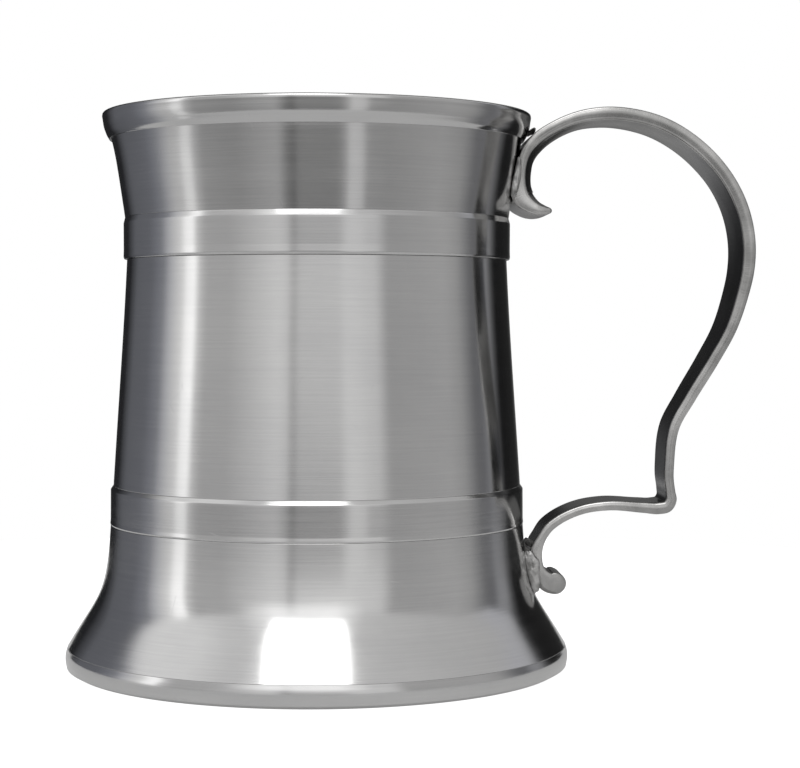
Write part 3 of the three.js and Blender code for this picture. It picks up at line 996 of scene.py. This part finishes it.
def quarter_turn(middle_across, middle_out, corner, start):
    """A quarter circle of each row's own corner radius, from a starting angle."""
    angle = start + np.linspace(0, np.pi / 2, CORNER_POINTS)
    return np.stack(
        [
            middle_across[:, None] + corner[:, None] * np.cos(angle),
            middle_out[:, None] + corner[:, None] * np.sin(angle),
        ],
        axis=-1,
    )


def between(first, second, steps, swelling, bulge):
    """Points on the straight from the end of one quarter turn to the start of the next, moved by a
    parabola that is highest at its middle: swelling moves them inwards, bulge moves them across."""
    share = np.linspace(0, 1, steps + 1)[1:-1][None, :, None]
    straight = first[:, -1:] + (second[:, :1] - first[:, -1:]) * share
    parabola = (4 * share * (1 - share))[..., 0]
    straight[..., 0] += np.reshape(bulge, (-1, 1)) * parabola
    straight[..., 1] -= np.reshape(swelling, (-1, 1)) * parabola
    return straight


SIDE_BULGE = 0.12 * MM
side_bulge = SIDE_BULGE * shut_tip * shut_end
near_outer = quarter_turn(half - arris, back - arris, arris, 0)
far_outer = quarter_turn(arris - half, back - arris, arris, np.pi / 2)
far_inner = quarter_turn(fillet - half, fillet - back, fillet, np.pi)
near_inner = quarter_turn(half - fillet, fillet - back, fillet, 3 * np.pi / 2)
FACE_STEPS, SIDE_STEPS = 34, 7
strap = np.concatenate(
    [
        near_outer,
        between(near_outer, far_outer, FACE_STEPS, 0, 0),
        far_outer,
        between(far_outer, far_inner, SIDE_STEPS, 0, -side_bulge),
        far_inner,
        between(far_inner, near_inner, FACE_STEPS, crown, 0),
        near_inner,
        between(near_inner, near_outer, SIDE_STEPS, 0, side_bulge),
    ],
    axis=1,
)
# How far each column is on a filed side: 1 on the sides, 0 on the faces, fading round the corners.
fading = np.linspace(1, 0, CORNER_POINTS)
on_side = np.concatenate(
    [
        fading,
        np.zeros(FACE_STEPS - 1),
        fading[::-1],
        np.ones(SIDE_STEPS - 1),
        fading,
        np.zeros(FACE_STEPS - 1),
        fading[::-1],
        np.ones(SIDE_STEPS - 1),
    ]
)
points = np.stack(
    [
        axis_x + spine_x[:, None] + outward[:, :1] * strap[..., 1],
        strap[..., 0],
        spine_z[:, None] + outward[:, 1:] * strap[..., 1],
    ],
    axis=-1,
)
CAST_WAVE, CAST_WAVE_SIZE = 0.04 * MM, 18 * MM
points += CAST_WAVE * lumps(points, CAST_WAVE_SIZE, 11)[..., None] * np.array([0.4, 1, 0.4])

# The back is filed to fit the body, so any point within the wall is brought out to its face.
body_face = np.vstack(
    [
        skirt_face,
        (lower_band_radius, skirt_top + 0.3 * MM),
        (lower_band_radius - 0.06 * MM, drum_foot - 0.8 * MM),
        drum_face,
        (upper_band_radius, drum_top + 0.1 * MM),
        (upper_band_radius, neck_foot - 1.2 * MM),
        neck_face[:-1],
        (neck_top_radius, lip_foot - 0.05 * MM),
        (lip_radius - 0.9 * MM, lip_foot),
        lip_face,
    ]
)


def filed_to_body(points, clearance):
    """Points moved straight out from the axis to the body's face and a clearance, where they
    would be nearer."""
    offset = points[..., :2] - (axis_x, 0)
    radius = np.hypot(offset[..., 0], offset[..., 1])
    least = radius_at(body_face, points[..., 2]) + clearance
    moved = points.copy()
    moved[..., :2] = (axis_x, 0) + offset * np.maximum(least / radius, 1)[..., None]
    return moved


points = filed_to_body(points, 0.03 * MM)

# Cross brushing: noise that is fine along the strap and long across it.
strokes, given, out = group(
    "cross_brushing", [("Strokes per metre", 3400), ("Stretch", 0.05)], [("Stroke", "Float")]
)
own = node(strokes, "ShaderNodeUVMap", uv_map="along_strap")
stretch = node(strokes, "ShaderNodeVectorMath", operation="MULTIPLY")
spread = combined(strokes, given[0], maths(strokes, "MULTIPLY", given[0], given[1]), 0)
grain = node(
    strokes, "ShaderNodeTexNoise", noise_dimensions="2D", Scale=1, Detail=3, Roughness=0.65
)
wire(
    strokes,
    (own.outputs[0], stretch.inputs[0]),
    (spread, stretch.inputs[1]),
    (stretch.outputs[0], grain.inputs["Vector"]),
    (grain.outputs["Fac"], out[0]),
)

# Cast pewter: darker in patches than the turned stages, with its sides brushed.
BRUSH_DEPTH = 0.022 * MM
cast_pewter = bpy.data.materials.new("cast_pewter")
cast_pewter.use_nodes = True
tree = cast_pewter.node_tree
surface = tree.nodes["Principled BSDF"]
surface.inputs["Metallic"].default_value = 1
side = node(tree, "ShaderNodeAttribute", attribute_name="filed_side").outputs["Fac"]
brushed, handled = tree.nodes.new("ShaderNodeGroup"), tree.nodes.new("ShaderNodeGroup")
brushed.node_tree, handled.node_tree = strokes, wear
handled.inputs["Clouds per metre"].default_value = 70
smudge, pit = handled.outputs
tone = node(tree, "ShaderNodeMixRGB", Color1=(0.36, 0.357, 0.35, 1), Color2=(0.56, 0.554, 0.545, 1))
pitted = node(tree, "ShaderNodeMixRGB", Color2=(0.1, 0.098, 0.095, 1))
side_rough = maths(tree, "ADD", 0.12, maths(tree, "MULTIPLY", side, 0.08))
smudged = maths(tree, "MULTIPLY", smudge, 0.12)
bump = node(tree, "ShaderNodeBump", Strength=1, Distance=BRUSH_DEPTH)
relief = maths(tree, "MULTIPLY", brushed.outputs[0], side)
relief = maths(tree, "SUBTRACT", relief, maths(tree, "MULTIPLY", pit, 2))
wire(
    tree,
    (ramp(tree, smudge, [(0.36, 0), (0.6, 1)]), tone.inputs[0]),
    (tone.outputs[0], pitted.inputs[1]),
    (maths(tree, "MULTIPLY", pit, 0.8), pitted.inputs[0]),
    (pitted.outputs[0], surface.inputs["Base Color"]),
    (maths(tree, "ADD", side_rough, smudged), surface.inputs["Roughness"]),
    (relief, bump.inputs["Height"]),
    (bump.outputs[0], surface.inputs["Normal"]),
)

handle = grid_mesh("strap_handle", points, cast_pewter, closed_ends=True)
side_attribute = handle.data.attributes.new("filed_side", "FLOAT", "POINT")
side_attribute.data.foreach_set("value", np.broadcast_to(on_side, points.shape[:2]).ravel())
# Its own map, in metres: along the strap, and round its girth at mid-length.
section = points[len(points) // 2]
girth = np.concatenate([[0], np.cumsum(np.linalg.norm(np.diff(section, axis=0), axis=1))])
girth = np.append(girth, girth[-1] + 0.4 * MM)
rows, columns = points.shape[:2]
row, column = np.divmod(np.arange((rows - 1) * columns), columns)
face_rows = np.stack([row, row, row + 1, row + 1], axis=-1)
face_columns = np.stack([column, column + 1, column + 1, column], axis=-1)
coordinates = np.stack([along[face_rows], girth[face_columns]], axis=-1).reshape(-1, 2)
caps = np.zeros((2 * columns, 2))
own_map = handle.data.uv_layers.new(name="along_strap")
own_map.data.foreach_set("uv", np.vstack([coordinates, caps]).ravel())
finish(handle, "handle")


# Solder: the runs of tin beside the hook and the thumb, the drop above the thumb and the one in the
# crook of the lip. Each set as a lump against the body and was left unfiled.
LUMP_COLUMNS, LUMP_ROWS = 48, 30
POLE_GAP = 0.06
FULLNESS = 0.6


def lump(name, middle, sizes, lean, seed, roughened):
    """A closed ball of the given half-sizes, full in the middle and leaning with the wall, its
    surface pushed in and out by a share of its size and held clear of the body's face."""
    turn = np.linspace(0, 2 * np.pi, LUMP_COLUMNS, endpoint=False)[None, :]
    rise = np.linspace(-np.pi / 2 + POLE_GAP, np.pi / 2 - POLE_GAP, LUMP_ROWS)[:, None]
    girth = np.cos(rise) ** FULLNESS
    ball = np.stack([girth * np.cos(turn), girth * np.sin(turn), np.sin(rise) + 0 * turn], axis=-1)
    coarse = lumps(ball, 1.4, seed)[..., None]
    fine = lumps(ball, 0.5, seed + 1)[..., None]
    ball *= 1 + roughened * coarse + 0.3 * roughened * fine
    ball *= np.array(sizes) * MM
    x = ball[..., 0] * math.cos(lean) + ball[..., 2] * math.sin(lean)
    z = ball[..., 2] * math.cos(lean) - ball[..., 0] * math.sin(lean)
    points = np.stack([x, ball[..., 1], z], axis=-1) + middle
    return grid_mesh(name, filed_to_body(points, CLOSE), solder, closed_ends=True)


# Name, CAD node, half-sizes and shift from the CAD bead in millimetres, lean, seed and roughening.
for name, node_name, sizes, shift, lean, seed, roughened in (
    ("hook_run_left", "neck_solder_left", (0.75, 0.7, 4.2), (0, 0, 0), 0.15, 20, 0.16),
    ("thumb_run_left", "skirt_solder_left", (1.6, 0.8, 4.1), (0.3, 0, 0), -0.25, 25, 0.2),
    ("hook_run_right", "neck_solder_right", (0.75, 0.7, 4.2), (0, 0, 0), 0.15, 31, 0.16),
    ("thumb_run_right", "skirt_solder_right", (1.6, 0.8, 4.1), (0.3, 0, 0), -0.25, 36, 0.2),
    ("thumb_drop", "skirt_solder_drop", (0.65, 5, 0.7), (0.3, 0, 0), 0, 44, 0.16),
    ("lip_drop", "lip_solder_drop", (0.6, 7.5, 0.5), (-0.5, 0, -0.7), 0, 52, 0.16),
):
    low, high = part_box(node_name)
    middle = np.array([(low[i] + high[i]) / 2 for i in range(3)]) + np.array(shift) * MM
    finish(lump(name, middle, sizes, lean, seed, roughened), node_name)


low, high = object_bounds()
